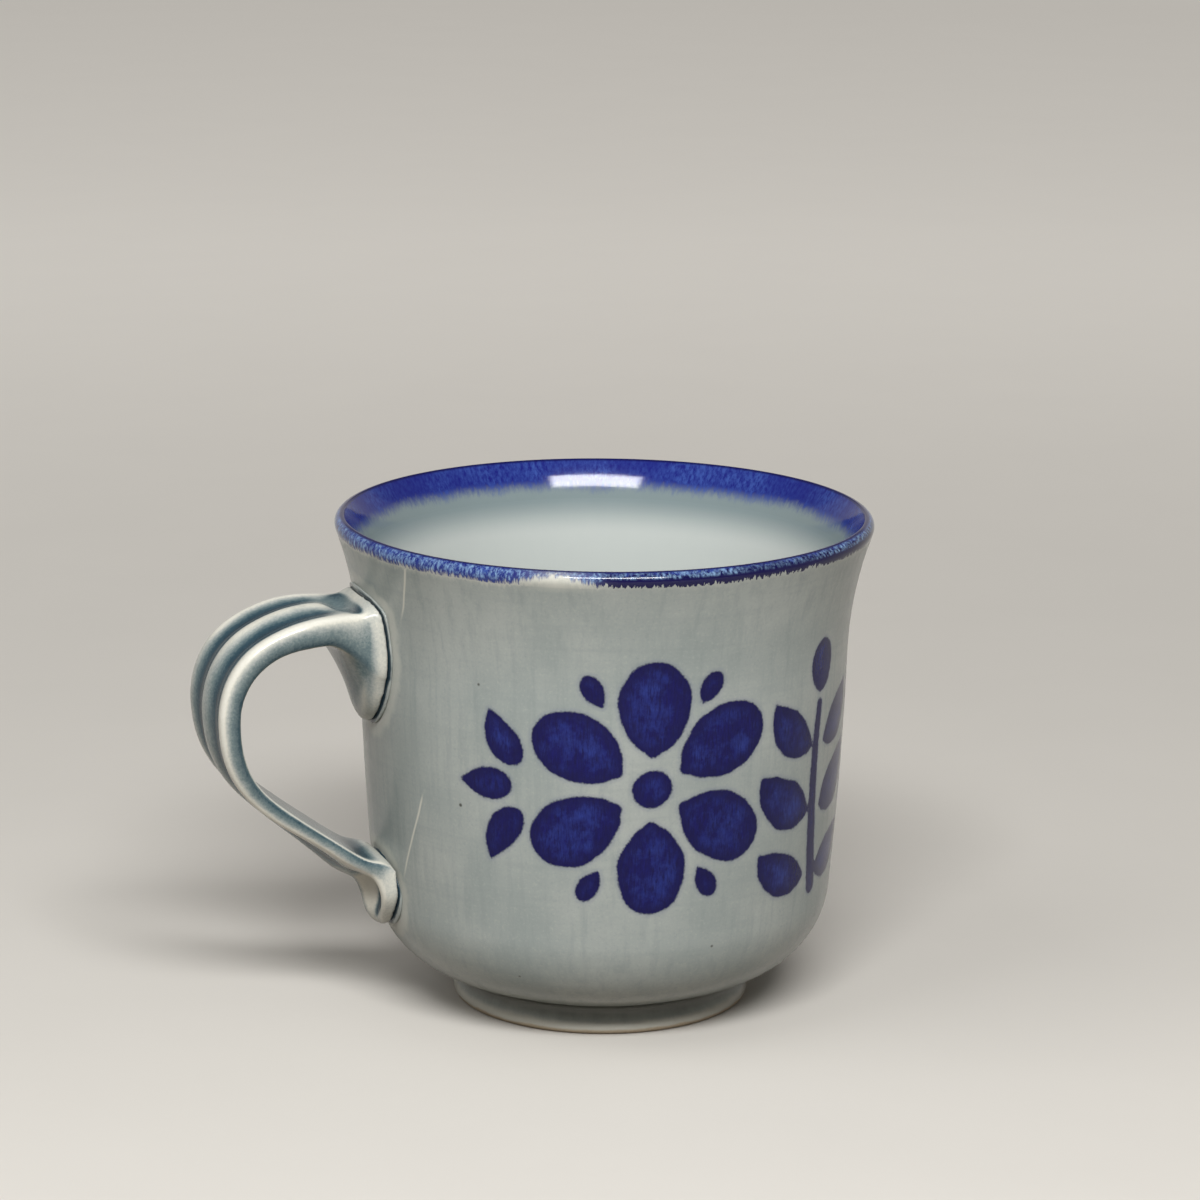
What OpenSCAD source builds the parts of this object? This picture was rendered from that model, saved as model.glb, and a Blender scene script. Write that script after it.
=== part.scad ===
// Stoneware mug with a flared lip, a turned foot ring and a pulled, ribbed strap handle.
// The origin is the centre of the foot plane, +Z is up and the handle points along -X.

/* [Cup] */
// Diameter across the outside of the lip
rim_d = 89; // [84:0.5:98]
// Height from the foot plane to the top of the lip
cup_h = 82.4; // [76:0.2:92]
// How far the lip stands out past the waist
flare_w = 4; // [3:0.1:6]
// Height of the flare, from the waist to the top of the lip
flare_h = 22.6; // [19:0.2:27]
// Lean of the wall at the waist, in degrees
waist_lean = 1.5; // [0.5:0.1:2.5]
// Lean of the wall at the belly, in degrees
belly_lean = 5.1; // [4:0.1:7]
// Radius of the belly curve
belly_round = 15.9; // [13:0.1:18]
// Slope of the underside between belly and foot, in degrees
base_slope = 21; // [18:0.5:26]
// Thickness of the lip
lip_t = 3; // [2.4:0.1:3.6]
// Thickness of the wall below the flare
wall_t = 3.8; // [3.2:0.1:4.6]
// Thickness of the floor
floor_t = 4.5; // [3.5:0.1:6]

/* [Foot] */
// How far the foot ring stands in from the belly
foot_inset = 13.5; // [12:0.1:16]
// Height of the foot ring
foot_h = 5; // [4:0.1:6]
// Width of the ring that stands on the table
foot_w = 4.6; // [3.6:0.1:6]
// Radius of the rounded edges of the foot ring
foot_round = 1; // [0.5:0.1:1.4]
// Depth of the cove turned round the outside of the foot ring
foot_cove = 0.9; // [0.3:0.1:1.2]

/* [Rim glaze] */
// How far the glaze band runs down the outside, below the round of the lip
band_out_h = 0.7; // [0.4:0.1:3]
// How far the glaze band runs down the inside, below the round of the lip
band_in_h = 4.4; // [3:0.1:10]
// Thickness of the glaze layer
glaze_t = 0.3; // [0.2:0.05:0.5]

/* [Handle] */
// Distance from the top of the lip down to the middle of the strap at the upper joint
upper_drop = 15.6; // [13:0.2:18]
// How far the strap arches above the upper joint
arch_rise = 3.6; // [2:0.1:5]
// How far the strap stands out from the wall at its outermost point
handle_out = 27.7; // [24:0.1:33]
// Distance from the upper joint down to that outermost point
reach_drop = 12.8; // [10:0.2:16]
// Distance from the wall to the bend above the lower joint
bend_out = 8; // [7:0.2:11]
// Height of that bend above the top of the belly curve
bend_rise = 10.1; // [8:0.1:14]
// Slope of the straight run down to the bend, in degrees
run_slope = 37; // [30:1:44]
// Distance from the bend down to the tip of the tail
tail_drop = 14.4; // [12.5:0.1:17]
// Width of the strap at its widest
strap_w = 21; // [18:0.2:24]
// Thickness of the strap at the arch
strap_t = 4.7; // [4:0.1:5.4]
// Depth of the two grooves between the three ribs
groove_depth = 1.1; // [0.5:0.1:1.4]
// How far the middle rib stands above the outer two
rib_crown = 0.4; // [0:0.1:0.8]
// Length of the tongue that is drawn down the wall under the upper joint
tongue_len = 14; // [11:0.2:17]
// Thickness of the tongue at its tip
tongue_t = 2.3; // [1.8:0.1:4]
// Distance from the wall over which the strap swells into the tongue
tongue_run = 9; // [7:0.2:11]
// How far the top of the upper joint is drawn up the wall
leaf_rise = 2.6; // [1.5:0.1:4]
// How far the sides of the root spread where they meet the wall
root_flare = 0.8; // [0:0.1:1.5]
// Depth of the thumb print pressed into the upper joint
thumb_depth = 1.5; // [0.8:0.1:2]
// How far the strap swells towards the wall above the lower joint
heel_t = 1.8; // [1:0.1:4]
// How far the middle of the strap thickens above the lower joint
keel_t = 2.1; // [1:0.1:3]
// Depth of the two hollows that the grooves end in, in the tail
tail_hollow = 1.6; // [0.6:0.1:2]

/* [Joint slip] */
// Thickness of the slip between handle and wall
slip_t = 0.4; // [0.3:0.05:1]
// How far the slip is squeezed out round the joint
slip_bead = 0.4; // [0.2:0.05:0.9]

/* [Hidden] */
$fn = 144;

// Overrun that lets a cut pass clear of what it cuts
overrun = 1;

// Cup outline: arcs that meet without a corner. Radii follow from the lip, heights from the foot
rim_r = rim_d / 2;
lip_r = lip_t / 2;
lip_c = [rim_r - lip_r, cup_h - lip_r];
waist_r = rim_r - flare_w;
waist_z = cup_h - flare_h;
floor_z = foot_h + floor_t;

// The belly arc is tangent to the wall above and to the sloped underside below
belly_in = [-cos(belly_lean), sin(belly_lean)];
base_up = [-sin(base_slope), cos(base_slope)];
base_run = foot_inset - belly_round * (cos(belly_lean) - sin(base_slope));
belly_c_z = foot_h + base_run * tan(base_slope) + belly_round * cos(base_slope);
belly_z = belly_c_z - belly_round * sin(belly_lean);

// The wall is one shallow arc from the waist to the top of the belly
wall_arc_r = (waist_z - belly_z) / (sin(belly_lean) - sin(waist_lean));
wall_c = [waist_r, waist_z] - wall_arc_r * [cos(waist_lean), -sin(waist_lean)];
belly_r = wall_c[0] + wall_arc_r * cos(belly_lean);
belly_c = [belly_r - belly_round * cos(belly_lean), belly_c_z];
base_end = belly_c - belly_round * base_up;
foot_r = belly_r - foot_inset;

// The flare is tangent to the wall at the waist and to the round of the lip
flare_out = [cos(waist_lean), -sin(waist_lean)];
waist_to_lip = [waist_r, waist_z] - lip_c;
flare_arc_r = (waist_to_lip * waist_to_lip - lip_r * lip_r) / (2 * (lip_r - waist_to_lip * flare_out));
flare_c = [waist_r, waist_z] + flare_arc_r * flare_out;
lip_drop = atan2(lip_c[1] - flare_c[1], flare_c[0] - lip_c[0]);
flare_top_z = lip_c[1] - lip_r * sin(lip_drop);

// Radius of the outside of the cup at a height
function arc_x(c, r, z) = sqrt(max(r * r - (z - c[1]) * (z - c[1]), 0));
function cup_r(z) =
    z >= waist_z ? flare_c[0] - arc_x(flare_c, flare_arc_r, min(z, flare_top_z))
    : z >= belly_z ? wall_c[0] + arc_x(wall_c, wall_arc_r, z)
    : z >= base_end[1] ? belly_c[0] + arc_x(belly_c, belly_round, z)
    : foot_r + max(z - foot_h, 0) / tan(base_slope);

// Thickness of the wall at a height: it thins through the flare to the lip
function cup_t(z) = wall_t + (lip_t - wall_t) * max(z - waist_z, 0) / (flare_top_z - waist_z);

// Steps along each stretch of the outline
flare_steps = 14;
wall_steps = 8;
belly_steps = 14;
lip_steps = 12;

function between(a, b, n) = [for (i = [0 : n]) a + (b - a) * i / n];
function polar(c, r, a) = c + r * [cos(a), sin(a)];

// Outside of the cup from the foot joint up to a height, and the inside back down to the axis
belly_turn = [base_slope - 90, -belly_lean];
function outside_below_waist() = concat(
    [[foot_r, foot_h]],
    [for (a = between(belly_turn[0], belly_turn[1], belly_steps)) polar(belly_c, belly_round, a)],
    [for (z = between(belly_z, waist_z, wall_steps)) if (z > belly_z) [cup_r(z), z]]);
function flare_outside(z0, z1) = [for (z = between(z0, z1, flare_steps)) [cup_r(z), z]];
function flare_inside(z0, z1) = [for (z = between(z0, z1, flare_steps)) [cup_r(z) - cup_t(z), z]];
function lip_round(inset) =
    [for (a = between(-lip_drop, 180 - lip_drop, lip_steps)) polar(lip_c, lip_r - inset, a)];
inner_belly_r = belly_round - wall_t;
inner_belly_z = belly_z + wall_t * sin(belly_lean);
inner_floor_turn = asin(max((floor_z - belly_c[1]) / inner_belly_r, -1));
function inside_below_waist() = concat(
    [for (z = between(waist_z, inner_belly_z, wall_steps)) if (z > inner_belly_z) [cup_r(z) - wall_t, z]],
    [for (a = between(-belly_lean, inner_floor_turn, belly_steps)) polar(belly_c, inner_belly_r, a)],
    [[0, floor_z]]);

// The glaze band is let into the lip, so the cup is drawn in there by the glaze thickness
band_out_z = flare_top_z - band_out_h;
band_in_z = flare_top_z - band_in_h;
function shifted(points, x) = [for (p = points) p + [x, 0]];
band_face = concat(
    flare_outside(band_out_z, flare_top_z), lip_round(0), flare_inside(flare_top_z, band_in_z));
band_seat = concat(
    shifted(flare_outside(band_out_z, flare_top_z), -glaze_t), lip_round(glaze_t),
    shifted(flare_inside(flare_top_z, band_in_z), glaze_t));

module turned(points) {
    rotate_extrude() polygon(points);
}

module cup_body() {
    color("#9DA29C")
        turned(concat(
            [[0, foot_h]], outside_below_waist(), flare_outside(waist_z, band_out_z),
            band_seat, flare_inside(band_in_z, waist_z), inside_below_waist()));
}

module rim_glaze_band() {
    color("#2A3070")
        turned(concat(band_face, [for (i = [len(band_seat) - 1 : -1 : 0]) band_seat[i]]));
}

// Foot ring: round lower edges, and a cove outside that draws it in under the cup
foot_steps = 5;
cove_steps = 8;
foot_in_r = foot_r - foot_w;
cove_shares = [[0, 0], [0.7, 1], [1, 0.7]];
module foot_ring() {
    out_c = [foot_r - foot_round, foot_round];
    in_c = [foot_in_r + foot_round, foot_round];
    color("#A89C8B")
        turned(concat(
            [for (a = between(180, 270, foot_steps)) polar(in_c, foot_round, a)],
            [for (a = between(270, 360, foot_steps)) polar(out_c, foot_round, a)],
            [for (q = between(0, 1, cove_steps)) if (q > 0)
                [foot_r - foot_cove * along(q, cove_shares), foot_round + (foot_h - foot_round) * q]],
            [[foot_in_r - foot_cove, foot_h]]));
}

// Solid that fills the outside of the cup, grown by a layer, used to trim what is stuck to it
module cup_filled(layer) {
    grown = shifted(concat(outside_below_waist(), flare_outside(waist_z, flare_top_z)), layer);
    turned(concat([[0, foot_h]], grown, [[0, flare_top_z]]));
}

// Width, thickness, groove depth, tail hollow, keel and heel along the strap, as shares of their sizes
strap_w_shares = [[0, 0.83], [0.3, 1], [1, 1], [1.6, 0.83], [2, 0.74], [2.4, 0.75], [2.75, 0.78], [3, 0.72]];
strap_t_shares = [
    [0, 1.1], [0.22, 0.98], [0.45, 0.82], [1, 0.76], [1.6, 0.58], [1.9, 0.46], [2.4, 0.43], [3, 0.5]];
groove_shares = [
    [0, 0], [0.08, 0.1], [0.22, 0.8], [0.35, 1], [1.2, 1], [1.7, 0.7], [2.1, 0.6], [2.6, 1], [3, 0.3]];
hollow_shares = [[2.15, 0], [2.55, 1], [2.8, 1], [3, 0.3]];
keel_shares = [[1.5, 0], [2.2, 1], [2.5, 0.95], [3, 0.6]];
heel_shares = [[2.1, 0], [2.5, 1], [2.8, 1], [3, 0.35]];

// Strap handle: its middle line is three cubic curves in the plane of radius and height
tail_off = 1.5;
upper_z = cup_h - upper_drop;
reach_r = waist_r + handle_out - strap_t * strap_t_shares[3][1] / 2;
reach_z = upper_z - reach_drop;
bend_z = belly_z + bend_rise;
bend_r = cup_r(bend_z) + bend_out;
tail_z = bend_z - tail_drop;
arch_share = 0.7;
drop_share = 0.55;
run_share = 0.54;
turn_share = 0.83;
tail_share = 0.85;
tail_lean_share = 0.28;
run_dir = [cos(run_slope), sin(run_slope)];
upper_root = [cup_r(upper_z), upper_z];
reach_point = [reach_r, reach_z];
bend_point = [bend_r, bend_z];
tail_point = [cup_r(tail_z) + tail_off, tail_z];
strap_curves = [
    [upper_root,
     upper_root + [(reach_r - upper_root[0]) * arch_share, arch_rise],
     reach_point + [0, (upper_z - reach_z) * arch_share],
     reach_point],
    [reach_point,
     reach_point - [0, (reach_z - bend_z) * drop_share],
     bend_point + run_dir * (reach_r - bend_r) * run_share / run_dir[0],
     bend_point],
    [bend_point,
     bend_point - run_dir * bend_out * turn_share,
     tail_point + [tail_off * tail_lean_share, (bend_z - tail_z) * tail_share],
     tail_point]];

function cubic(p, t) =
    p[0] * pow(1 - t, 3) + 3 * p[1] * t * pow(1 - t, 2) + 3 * p[2] * t * t * (1 - t) + p[3] * pow(t, 3);
function cubic_dir(p, t) =
    let (d = (p[1] - p[0]) * pow(1 - t, 2) + 2 * (p[2] - p[1]) * t * (1 - t) + (p[3] - p[2]) * t * t)
    d / norm(d);

// Stations along the three curves, close together where the strap swells into the joint and at its tip
root_steps = 14;
arch_steps = 11;
run_steps = 12;
tail_steps = 20;
tip_crowding = 1.6;
root_share = 0.22;
stations = concat(
    between(0, root_share, root_steps),
    [for (t = between(root_share, 1, arch_steps)) if (t > root_share) t],
    [for (t = between(1, 2, run_steps)) if (t > 1) t],
    [for (t = between(0, 1, tail_steps)) if (t > 0) 3 - pow(1 - t, tip_crowding)]);
function curve_at(s) = min(floor(s), 2);
function strap_point(s) = cubic(strap_curves[curve_at(s)], s - curve_at(s));
function strap_dir(s) = cubic_dir(strap_curves[curve_at(s)], s - curve_at(s));

// Smooth step between the rows of a table
function row_of(s, rows, i = 0) = i >= len(rows) - 2 || s < rows[i + 1][0] ? i : row_of(s, rows, i + 1);
function eased(q) = q <= 0 ? 0 : q >= 1 ? 1 : q * q * (3 - 2 * q);
function along(s, rows) =
    let (i = row_of(s, rows), a = rows[i], b = rows[i + 1])
    a[1] + (b[1] - a[1]) * eased((s - a[0]) / (b[0] - a[0]));

// The tail closes in a round end: its width draws in over a longer stretch than its thickness
tip_w_share = 0.28;
tip_t_share = 0.14;
tip_end_share = 0.2;
function tip_close(s, stretch_share) =
    let (q = max(s - (3 - stretch_share), 0) / stretch_share)
    max(sqrt(max(1 - q * q, 0)), tip_end_share);

// Swell of the strap into the tongue: a hollow curve from the inner face down to the tongue's tip
swell_bend = 1.45;
tongue_r = cup_r(upper_z - tongue_len) + tongue_t;
function swell(s) =
    let (e = (strap_point(s)[0] - tongue_r) / (upper_root[0] + tongue_run - tongue_r))
    s > 1 || e >= 1 ? 0 : e <= 0 ? 1 : 1 - pow(1 - pow(1 - e, swell_bend), 1 / swell_bend);
leaf_run_share = 0.36;
leaf_run = tongue_run * leaf_run_share;
function leaf(s) =
    let (e = (strap_point(s)[0] - upper_root[0] - slip_t) / leaf_run)
    s > 1 || e >= 1 ? 0 : 1 - eased(max(e, 0));

// Thumb print: a round dip beside the middle rib, just off the wall
thumb_side_share = 0.1;
thumb_w_share = 0.46;
thumb_out_share = 0.48;
thumb_run_share = 0.27;
function thumb(u, s) =
    let (a = (u - thumb_side_share) / thumb_w_share,
         b = ((strap_point(s)[0] - upper_root[0]) / tongue_run - thumb_out_share) / thumb_run_share)
    s > 1 ? 0 : thumb_depth * exp(-a * a - b * b);

// Height of the outer and inner face over the middle line, at a share u of the half width
edge_share = 0.9;
heel_lag_share = 0.2;
leaf_bend = 1.75;
function across(u) = pow(max(1 - pow(abs(u), leaf_bend), 0), 1 / leaf_bend);
function face_out(u, s) =
    strap_t * along(s, strap_t_shares) / 2
    + rib_crown * (1 - u * u)
    + keel_t * along(s, keel_shares) * (1 - pow(u / edge_share, 2))
    - (groove_depth * along(s, groove_shares) + tail_hollow * along(s, hollow_shares))
      * (1 - cos(360 * u / edge_share)) / 2
    + leaf_rise * leaf(s) * across(u)
    - thumb(u, s);
function face_in(u, s) =
    -strap_t * along(s, strap_t_shares) / 2 - tongue_len * swell(s) * across(u)
    - heel_t * along(s - heel_lag_share * (1 - across(u)) * tip_close(s, tip_w_share), heel_shares);

// One ring of the strap: outer face, round edge, inner face, round edge; the edge that the heel
// buries in the wall is squarer
out_steps = 18;
in_steps = 12;
edge_steps = 7;
square_share = 0.8;
function edge_height(s, a) =
    (face_out(edge_share, s) + face_in(edge_share, s)) / 2
    + (face_out(edge_share, s) - face_in(edge_share, s)) / 2 * sin(a);
function edge_side(s, a) =
    let (squareness = a < 0 ? 1 - square_share * along(s, heel_shares) : 1)
    edge_share + (1 - edge_share) * pow(cos(a), squareness);
function ring(s) = concat(
    [for (u = between(-edge_share, edge_share, out_steps)) [u, face_out(u, s)]],
    [for (a = between(90, -90, edge_steps)) if (abs(a) < 90) [edge_side(s, a), edge_height(s, a)]],
    [for (u = between(edge_share, -edge_share, in_steps)) [u, face_in(u, s)]],
    [for (a = between(-90, 90, edge_steps)) if (abs(a) < 90) [-edge_side(s, a), edge_height(s, a)]]);
function ring_up(s) =
    let (d = strap_dir(s), q = eased(s / root_share), n = [-d[1], d[0]] * q + [0, 1] * (1 - q))
    n / norm(n);
function place(p, s, back) =
    let (at = strap_point(s) - strap_dir(s) * back + ring_up(s) * p[1] * tip_close(s, tip_t_share),
         half_w = strap_w * along(s, strap_w_shares) / 2 + root_flare * pow(leaf(s), 2))
    [-at[0], p[0] * half_w * tip_close(s, tip_w_share), at[1]];

// The root runs on into the wall, and is then trimmed to the joint; its rings stand upright there
root_sink = wall_t;
rings = concat(
    [[for (p = ring(0)) place(p, 0, root_sink)]],
    [for (s = stations) [for (p = ring(s)) place(p, s, 0)]]);
ring_n = len(rings[0]);
ring_last = len(rings) - 1;

// Each end is closed by a fan round the middle of its ring
root_mid = place([0, (face_out(0, 0) + face_in(0, 0)) / 2], 0, root_sink);
tip_mid = place([0, (face_out(0, 3) + face_in(0, 3)) / 2], 3, 0);

module strap() {
    tip_a = ring_last * ring_n;
    root_n = tip_a + ring_n;
    sides = [for (i = [0 : ring_last - 1]) for (j = [0 : ring_n - 1])
        let (k = (j + 1) % ring_n, a = i * ring_n, b = a + ring_n)
        each [[a + j, b + k, a + k], [a + j, b + j, b + k]]];
    ends = [for (j = [0 : ring_n - 1])
        let (k = (j + 1) % ring_n)
        each [[j, k, root_n], [tip_a + k, tip_a + j, root_n + 1]]];
    polyhedron(concat([for (r = rings) each r], [root_mid, tip_mid]), concat(sides, ends), convexity = 6);
}

module handle() {
    color("#A6AAA6")
        difference() {
            strap();
            cup_filled(slip_t);
        }
}

// Slip pad: a layer on the wall, cut to a leaf outline seen along the handle
joint_steps = 24;
function half_oval(c, w, h, from, to) =
    [for (a = between(from, to, joint_steps)) c + [w * cos(a), h * sin(a)]];
module slip_pad(outline) {
    intersection() {
        difference() {
            cup_filled(slip_t);
            cup_filled(0);
        }
        rotate([90, 0, -90])
            linear_extrude(rim_r + overrun) polygon(outline);
    }
}

upper_half_w = strap_w * strap_w_shares[0][1] / 2 + root_flare + slip_bead;
upper_top_z = upper_z + strap_t * strap_t_shares[0][1] / 2;
upper_low_z = upper_z - strap_t * strap_t_shares[0][1] / 2;
module upper_joint_slip() {
    color("#33505C")
        slip_pad(concat(
            half_oval([0, upper_top_z], upper_half_w, leaf_rise + rib_crown + slip_bead, 0, 180),
            half_oval([0, upper_low_z], upper_half_w, tongue_len + slip_bead, 180, 360)));
}

lower_station_share = 2.5;
lower_top_share = 0.87;
lower_mid_share = 0.45;
lower_half_w = strap_w * along(lower_station_share, strap_w_shares) / 2 + slip_bead;
lower_top_z = tail_z + (bend_z - tail_z) * lower_top_share;
lower_mid_z = tail_z + (bend_z - tail_z) * lower_mid_share;
module lower_joint_slip() {
    color("#33505C")
        slip_pad(concat(
            half_oval([0, lower_mid_z], lower_half_w, lower_top_z - lower_mid_z, 0, 180),
            half_oval([0, lower_mid_z], lower_half_w, lower_mid_z - tail_z, 180, 360)));
}

cup_body();
foot_ring();
rim_glaze_band();
upper_joint_slip();
lower_joint_slip();
handle();
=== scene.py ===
import math
from functools import partial, reduce
from types import SimpleNamespace

import bpy
import numpy as np
from bpy.props import FloatProperty, FloatVectorProperty, IntProperty, PointerProperty
from mathutils import Matrix, Vector
from mathutils.bvhtree import BVHTree
from mathutils.kdtree import KDTree


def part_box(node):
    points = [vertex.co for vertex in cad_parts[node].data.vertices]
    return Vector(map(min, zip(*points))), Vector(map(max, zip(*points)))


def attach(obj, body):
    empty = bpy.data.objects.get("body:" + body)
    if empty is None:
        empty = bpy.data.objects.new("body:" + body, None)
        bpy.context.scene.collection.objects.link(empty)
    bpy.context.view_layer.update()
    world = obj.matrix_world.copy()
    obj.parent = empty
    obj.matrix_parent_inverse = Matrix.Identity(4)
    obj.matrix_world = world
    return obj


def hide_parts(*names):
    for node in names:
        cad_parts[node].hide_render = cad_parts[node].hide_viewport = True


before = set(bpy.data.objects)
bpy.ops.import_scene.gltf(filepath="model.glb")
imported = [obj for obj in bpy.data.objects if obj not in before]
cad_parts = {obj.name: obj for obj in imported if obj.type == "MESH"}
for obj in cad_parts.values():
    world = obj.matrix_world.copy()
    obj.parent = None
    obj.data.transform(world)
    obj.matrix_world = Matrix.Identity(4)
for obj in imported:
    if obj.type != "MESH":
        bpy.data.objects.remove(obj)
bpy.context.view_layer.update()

bl_info = {
    "name": "Stoneware Mug",
    "version": (1, 0, 0),
    "blender": (4, 5, 0),
    "location": "View3D > Sidebar > Mug",
    "description": "Models a glazed stoneware mug with a cobalt lip and a pulled strap handle",
    "category": "Mesh",
}

MM = 0.001

# Vertices nearer than these are one: in an outline, in a turned mesh and in a copied solid
OUTLINE_WELD, MESH_WELD, SOLID_WELD = 0.001 * MM, 0.002 * MM, 0.003 * MM
CREASE_ANGLE = math.radians(35)
FIT_ROUNDS = 4
LIP_PASSES = 4


def hex_colour(code):
    """Linear RGBA from an sRGB hex colour."""
    parts = [int(code[i:i + 2], 16) / 255 for i in (1, 3, 5)]
    linear = [c / 12.92 if c <= 0.04045 else ((c + 0.055) / 1.055) ** 2.4 for c in parts]
    return (*linear, 1.0)


def length(name, description, default):
    """A length property, kept in metres."""
    return FloatProperty(
        name=name, description=description, default=default, unit="LENGTH", precision=5)


def angle(name, description, degrees):
    """An angle property, written in degrees."""
    return FloatProperty(
        name=name, description=description, default=math.radians(degrees), subtype="ANGLE")


def colour(name, description, code):
    """A colour property, written as an sRGB hex value."""
    return FloatVectorProperty(
        name=name, description=description, default=hex_colour(code), size=4, subtype="COLOR",
        min=0, max=1)


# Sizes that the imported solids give: the lip from the rim band, the foot from the foot ring
RIM_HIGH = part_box("rim_glaze_band")[1]
FOOT_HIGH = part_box("foot_ring")[1]


class MugSizes(bpy.types.PropertyGroup):
    """Sizes of the thrown cup, its foot and its rim glaze."""

    rim_radius: length("Rim radius", "Outer radius of the lip", RIM_HIGH.x)
    height: length("Height", "Height of the lip above the table", RIM_HIGH.z)
    flare_width: length("Flare width", "How far the lip stands out", 4 * MM)
    flare_height: length("Flare height", "From the waist to the top of the lip", 22.6 * MM)
    waist_lean: angle("Waist lean", "Lean of the wall at the waist", 1.5)
    belly_lean: angle("Belly lean", "Lean of the wall at the belly", 5.1)
    belly_round: length("Belly radius", "Radius of the belly curve", 15.9 * MM)
    base_slope: angle("Base slope", "Slope between belly and foot", 21)
    lip_thickness: length("Lip thickness", "Thickness of the lip", 3 * MM)
    wall_thickness: length("Wall thickness", "Thickness of the wall below the flare", 3.8 * MM)
    floor_thickness: length("Floor thickness", "Thickness of the floor", 4.5 * MM)
    foot_radius: length("Foot radius", "Outer radius of the foot ring", FOOT_HIGH.x)
    foot_height: length("Foot height", "Height of the foot ring", FOOT_HIGH.z)
    foot_width: length("Foot width", "Width of the ring", 4.6 * MM)
    foot_round: length("Foot edge radius", "Radius of the foot's rounded edges", 1 * MM)
    foot_cove: length("Foot cove", "Depth of the cove round the foot", 0.9 * MM)
    foot_bead: length("Foot bead", "Height of the turned line under the base", 0.22 * MM)
    band_outside: length("Rim band outside", "Run of the band down the outside", 0.7 * MM)
    band_inside: length("Rim band inside", "Run of the band down the inside", 4.4 * MM)
    glaze_thickness: length("Glaze thickness", "Thickness of the rim glaze", 0.3 * MM)
    lip_opening: length("Lip opening", "How far the lip is pressed open inside", 0.35 * MM)
    turns: IntProperty(
        name="Steps round", description="Steps round the cup", default=420, min=48, max=480)
    row: length("Row height", "Distance between rows on the painted wall", 0.5 * MM)


class MugColours(bpy.types.PropertyGroup):
    """Colours of the glazes and the clay."""

    glaze: colour("Glaze", "Grey-green glaze at its usual thickness", "#A4A9A5")
    glaze_deep: colour("Thick glaze", "Glaze where it lies thick", "#87918F")
    # The thin glaze colour is also laid low on the foot as painted light
    glaze_thin_and_lit: colour("Thin glaze", "Glaze where it thins over an edge", "#D5D3C7")
    # Paler inside the cup: partly a paler glaze, partly painted light for the light that falls in
    glaze_inside_and_light: colour("Inner glaze", "Glaze over the pale slip inside the cup", "#BCC1BD")
    glaze_teal: colour("Teal glaze", "Glaze half pooled on a slope", "#677779")
    glaze_gathered: colour("Gathered glaze", "Glaze gathered under the rim band", "#7B898B")
    glaze_seep: colour("Seeping glaze", "Glaze at the edge of a pool", "#2E4752")
    glaze_pool: colour("Pooled glaze", "Glaze pooled in a groove or a seam", "#18313E")
    glaze_bare: colour("Bare edge", "Glaze drawn off the sharpest edges", "#E2E0D6")
    cobalt: colour("Rim cobalt", "Cobalt in the rim glaze", "#151C72")
    cobalt_deep: colour("Deep rim cobalt", "Rim glaze where the brush left most", "#070340")
    cobalt_pale: colour("Pale rim cobalt", "Rim glaze where it runs thin", "#344C96")
    cobalt_crystal: colour("Cobalt crystals", "Pale crystals in the rim glaze", "#8BADCF")
    paint: colour("Paint", "Brushed cobalt of the border", "#090A5C")
    paint_deep: colour("Deep paint", "Border where the brush left most", "#04013C")
    paint_pale: colour("Dry paint", "Border where the brush ran dry", "#22317C")
    # Painted shade: the darker colour laid in the foot's cove, where shade falls under the belly
    cove: colour("Cove", "Glaze gathered in the foot's cove", "#5C5E58")
    clay: colour("Clay", "Bare stoneware on the foot", "#CBBDA6")
    clay_grit: colour("Grit", "Darker grit in the bare stoneware", "#B3A289")
    iron: colour("Iron specks", "Specks of iron in the clay", "#3B3935")
    floor: colour("Floor", "Studio floor as it is seen", "#D4D0C9")
    floor_return: colour("Floor's light", "Studio floor as it lights the mug", "#8C857C")
    sky: colour("Sky", "Even light from all round", "#F4F2EF")


def mug_form(s):
    """Derived points of the cup's outline: arcs that meet without a corner, as in the solid."""
    f = SimpleNamespace()
    f.lip_r = s.lip_thickness / 2
    f.lip_c = Vector((s.rim_radius - f.lip_r, s.height - f.lip_r))
    f.waist = Vector((s.rim_radius - s.flare_width, s.height - s.flare_height))
    f.floor_z = s.foot_height + s.floor_thickness
    base_up = Vector((-math.sin(s.base_slope), math.cos(s.base_slope)))
    sine_change = math.sin(s.belly_lean) - math.sin(s.waist_lean)
    belly_out = Vector((math.cos(s.belly_lean), -math.sin(s.belly_lean)))
    waist_out = Vector((math.cos(s.waist_lean), -math.sin(s.waist_lean)))
    # The wall's radius sets the belly, and the belly's height follows from the foot
    inset = 0.0
    for _ in range(FIT_ROUNDS):
        base_run = inset - s.belly_round * (belly_out.x - math.sin(s.base_slope))
        centre_z = s.foot_height + base_run * math.tan(s.base_slope) + s.belly_round * base_up.y
        belly_z = centre_z + s.belly_round * belly_out.y
        f.wall_r = (f.waist.y - belly_z) / sine_change
        f.wall_c = f.waist - f.wall_r * waist_out
        belly_r = f.wall_c.x + f.wall_r * belly_out.x
        inset = belly_r - s.foot_radius
    f.belly_z = belly_z
    f.belly_c = Vector((belly_r - s.belly_round * belly_out.x, centre_z))
    f.base_end = f.belly_c - s.belly_round * base_up
    to_lip = f.waist - f.lip_c
    f.flare_r = (to_lip.length_squared - f.lip_r ** 2) / (2 * (f.lip_r - to_lip.dot(waist_out)))
    f.flare_c = f.waist + f.flare_r * waist_out
    f.lip_drop = math.atan2(f.lip_c.y - f.flare_c.y, f.flare_c.x - f.lip_c.x)
    f.flare_top = f.lip_c.y - f.lip_r * math.sin(f.lip_drop)
    f.band_out_z = f.flare_top - s.band_outside
    f.band_in_z = f.flare_top - s.band_inside
    return f


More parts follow.
